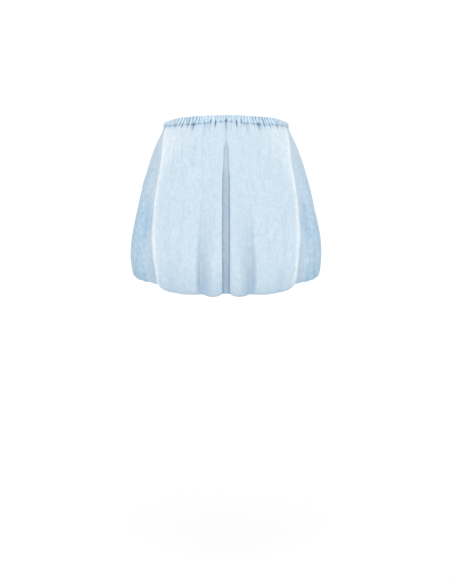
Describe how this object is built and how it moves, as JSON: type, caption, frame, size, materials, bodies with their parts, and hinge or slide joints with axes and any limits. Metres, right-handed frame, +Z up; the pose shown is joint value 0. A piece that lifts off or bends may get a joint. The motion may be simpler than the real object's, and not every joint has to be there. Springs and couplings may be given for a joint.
{
  "type": "balloon skirt",
  "caption": "Short balloon skirt in light chambray, standing open as worn, with a gathered elastic waist, an inverted pleat down the front and a rounded hem turned under.",
  "frame": {"origin": "middle of the waist ring, at half the height of the waistband, where the wearer's waist holds it", "axes": "+Z up, the front of the skirt faces -Y, +X runs across it from side seam to side seam"},
  "size_m": [0.424, 0.3127, 0.3874],
  "materials": {
    "chambray": "soft light-wash cotton chambray",
    "band_cloth": "the same chambray, doubled and gathered"
  },
  "bodies": {
    "root": {"front_panel": "chambray", "back_panel": "chambray", "waistband": "band_cloth", "hem_band": "band_cloth"}
  },
  "joints": []
}
